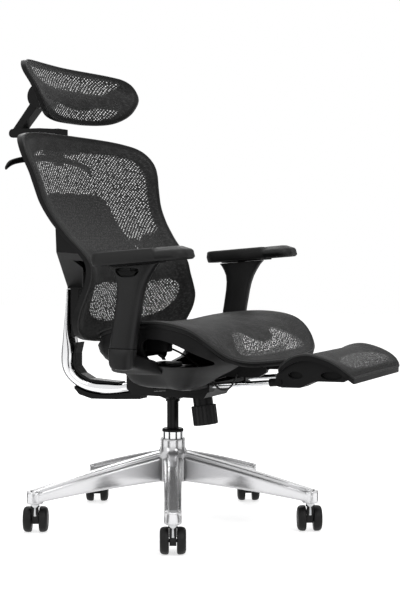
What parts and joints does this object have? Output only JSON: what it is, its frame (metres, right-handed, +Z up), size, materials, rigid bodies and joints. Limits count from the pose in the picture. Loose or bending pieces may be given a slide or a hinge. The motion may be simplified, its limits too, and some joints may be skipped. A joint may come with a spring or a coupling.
{
  "type": "reclining office chair",
  "caption": "High-backed mesh office chair with adjustable headrest, armrests, coat hanger, gas lift on a castered star base and a footrest that slides out and flips over",
  "frame": {"origin": "on the floor, under the middle of the chair's overall bounding box", "axes": "+Z up, -Y is where the sitter faces, +X is the sitter's left"},
  "size_m": [0.7155, 0.963, 1.103],
  "materials": {
    "polished": "polished",
    "chrome": "polished",
    "black_plastic": "fine grain",
    "shell_plastic": "satin",
    "mesh": "woven mesh",
    "pad": "soft-touch",
    "black_metal": "powder coat",
    "steel": "brushed",
    "caster_plastic": "gloss"
  },
  "bodies": {
    "base": {"star_base": "polished", "gas_lift_outer_tube": "chrome", "gas_lift_bushing": "black_plastic", "gas_lift_bearing": "steel"},
    "lift_rod": {"gas_lift_rod": "steel", "gas_lift_clip": "steel"},
    "seat": {"gas_lift_tube": "black_metal", "mechanism_housing": "black_metal", "mechanism_cover": "black_plastic", "recline_pin": "steel", "seat_bolts": "steel", "seat_frame": "shell_plastic", "seat_ring": "shell_plastic", "seat_mesh": "mesh", "arm_bracket_right": "shell_plastic", "arm_bracket_left": "shell_plastic", "arm_blade_right": "steel", "arm_blade_left": "steel", "footrest_guides": "black_plastic", "control_cable": "black_plastic"},
    "tension_knob": {"tension_knob": "black_plastic"},
    "height_lever": {"height_lever": "black_plastic"},
    "recline_lever": {"recline_lever": "black_plastic"},
    "back_arm": {"back_arm": "polished", "back_arm_trim": "black_plastic", "back_upright": "black_metal"},
    "back": {"back_bracket": "black_plastic", "back_frame": "black_plastic", "back_mesh": "mesh", "lumbar_pad": "black_plastic", "coat_hanger": "black_plastic", "headrest_mount": "black_plastic"},
    "headrest_stem": {"headrest_stem": "black_plastic"},
    "headrest_link": {"headrest_link": "black_plastic"},
    "headrest": {"headrest_hinge": "black_plastic", "headrest_frame": "black_plastic", "headrest_mesh": "mesh"},
    "footrest_slide": {"footrest_rods": "chrome", "footrest_yoke": "steel"},
    "footrest": {"footrest_frame": "shell_plastic", "footrest_mesh": "mesh"},
    "caster_1": {"caster_body_1": "caster_plastic"},
    "caster_wheels_1": {"caster_wheels_1": "caster_plastic"},
    "caster_2": {"caster_body_2": "caster_plastic"},
    "caster_wheels_2": {"caster_wheels_2": "caster_plastic"},
    "caster_3": {"caster_body_3": "caster_plastic"},
    "caster_wheels_3": {"caster_wheels_3": "caster_plastic"},
    "caster_4": {"caster_body_4": "caster_plastic"},
    "caster_wheels_4": {"caster_wheels_4": "caster_plastic"},
    "caster_5": {"caster_body_5": "caster_plastic"},
    "caster_wheels_5": {"caster_wheels_5": "caster_plastic"},
    "arm_post_right": {"arm_post_right": "shell_plastic"},
    "arm_button_right": {"arm_button_right": "black_plastic"},
    "pad_base_right": {"pad_base_right": "black_plastic"},
    "arm_pad_right": {"arm_pad_right": "pad"},
    "arm_post_left": {"arm_post_left": "shell_plastic"},
    "arm_button_left": {"arm_button_left": "black_plastic"},
    "pad_base_left": {"pad_base_left": "black_plastic"},
    "arm_pad_left": {"arm_pad_left": "pad"}
  },
  "joints": [
    {"name": "caster_swivel_1", "type": "hinge", "parent": "base", "child": "caster_1", "pos_m": [0.02918, -0.30099, 0.08], "axis": [0, 0, 1], "continuous": true},
    {"name": "caster_roll_1", "type": "hinge", "parent": "caster_1", "child": "caster_wheels_1", "pos_m": [0.04161, -0.29455, 0.03], "axis": [0.4602, -0.8878, 0], "continuous": true},
    {"name": "caster_swivel_2", "type": "hinge", "parent": "base", "child": "caster_2", "pos_m": [0.30652, -0.01974, 0.08], "axis": [0, 0, 1], "continuous": true},
    {"name": "caster_roll_2", "type": "hinge", "parent": "caster_2", "child": "caster_wheels_2", "pos_m": [0.31895, -0.0133, 0.03], "axis": [0.4602, -0.8878, 0], "continuous": true},
    {"name": "caster_swivel_3", "type": "hinge", "parent": "base", "child": "caster_3", "pos_m": [0.12475, 0.33094, 0.08], "axis": [0, 0, 1], "continuous": true},
    {"name": "caster_roll_3", "type": "hinge", "parent": "caster_3", "child": "caster_wheels_3", "pos_m": [0.13718, 0.33738, 0.03], "axis": [0.4602, -0.8878, 0], "continuous": true},
    {"name": "caster_swivel_4", "type": "hinge", "parent": "base", "child": "caster_4", "pos_m": [-0.26494, 0.26642, 0.08], "axis": [0, 0, 1], "continuous": true},
    {"name": "caster_roll_4", "type": "hinge", "parent": "caster_4", "child": "caster_wheels_4", "pos_m": [-0.25251, 0.27287, 0.03], "axis": [0.4602, -0.8878, 0], "continuous": true},
    {"name": "caster_swivel_5", "type": "hinge", "parent": "base", "child": "caster_5", "pos_m": [-0.32401, -0.12413, 0.08], "axis": [0, 0, 1], "continuous": true},
    {"name": "caster_roll_5", "type": "hinge", "parent": "caster_5", "child": "caster_wheels_5", "pos_m": [-0.31158, -0.11768, 0.03], "axis": [0.4602, -0.8878, 0], "continuous": true},
    {"name": "seat_swivel", "type": "hinge", "parent": "base", "child": "lift_rod", "pos_m": [-0.0257, 0.0305, 0.15], "axis": [0, 0, 1], "continuous": true},
    {"name": "seat_height", "type": "slide", "parent": "lift_rod", "child": "seat", "axis": [0, 0, 1], "range_m": [-0.06, 0.04]},
    {"name": "tension_turn", "type": "hinge", "parent": "seat", "child": "tension_knob", "pos_m": [-0.0257, -0.0515, 0.289], "axis": [0, -0.1392, -0.9903], "continuous": true},
    {"name": "height_lever_turn", "type": "hinge", "parent": "seat", "child": "height_lever", "pos_m": [0.0363, 0.0485, 0.33], "axis": [1, 0, 0], "range_deg": [0, 12], "stiffness_Nm_per_rad": 1.5},
    {"name": "recline_lever_turn", "type": "hinge", "parent": "seat", "child": "recline_lever", "pos_m": [0.0363, 0.0985, 0.328], "axis": [1, 0, 0], "range_deg": [0, 12], "stiffness_Nm_per_rad": 1.5},
    {"name": "recline", "type": "hinge", "parent": "seat", "child": "back_arm", "pos_m": [-0.0257, 0.0805, 0.345], "axis": [-1, 0, 0], "range_deg": [-8, 16]},
    {"name": "back_height", "type": "slide", "parent": "back_arm", "child": "back", "axis": [0, 0, 1], "range_m": [0, 0.06]},
    {"name": "headrest_height", "type": "slide", "parent": "back", "child": "headrest_stem", "axis": [0, 0, 1], "range_m": [0, 0.05]},
    {"name": "headrest_reach", "type": "hinge", "parent": "headrest_stem", "child": "headrest_link", "pos_m": [-0.0257, 0.4705, 0.947], "axis": [-1, 0, 0], "range_deg": [-4, 25]},
    {"name": "headrest_tilt", "type": "hinge", "parent": "headrest_link", "child": "headrest", "pos_m": [-0.0257, 0.3925, 1.036], "axis": [-1, 0, 0], "range_deg": [-10, 25]},
    {"name": "arm_height_right", "type": "slide", "parent": "seat", "child": "arm_post_right", "axis": [0, -0.1702, 0.9854], "range_m": [0, 0.07]},
    {"name": "arm_release_right", "type": "slide", "parent": "arm_post_right", "child": "arm_button_right", "axis": [1, 0, 0], "range_m": [0, 0.003], "stiffness_N_per_m": 1500},
    {"name": "pad_swivel_right", "type": "hinge", "parent": "arm_post_right", "child": "pad_base_right", "pos_m": [-0.3077, -0.02157, 0.6254], "axis": [0, 0.0802, 0.9968], "range_deg": [-15, 15]},
    {"name": "pad_slide_right", "type": "slide", "parent": "pad_base_right", "child": "arm_pad_right", "axis": [0, 0.9968, -0.0802], "range_m": [-0.03, 0.012]},
    {"name": "arm_height_left", "type": "slide", "parent": "seat", "child": "arm_post_left", "axis": [0, -0.1702, 0.9854], "range_m": [0, 0.07]},
    {"name": "arm_release_left", "type": "slide", "parent": "arm_post_left", "child": "arm_button_left", "axis": [-1, 0, 0], "range_m": [0, 0.003], "stiffness_N_per_m": 1500},
    {"name": "pad_swivel_left", "type": "hinge", "parent": "arm_post_left", "child": "pad_base_left", "pos_m": [0.2563, -0.02157, 0.6254], "axis": [0, 0.0802, 0.9968], "range_deg": [-15, 15]},
    {"name": "pad_slide_left", "type": "slide", "parent": "pad_base_left", "child": "arm_pad_left", "axis": [0, 0.9968, -0.0802], "range_m": [-0.03, 0.012]},
    {"name": "footrest_pull", "type": "slide", "parent": "seat", "child": "footrest_slide", "axis": [0, -0.9954, 0.0958], "range_m": [0, 0.1]},
    {"name": "footrest_flip", "type": "hinge", "parent": "footrest_slide", "child": "footrest", "pos_m": [-0.0257, -0.3175, 0.372], "axis": [1, 0, 0], "range_deg": [0, 160]}
  ]
}
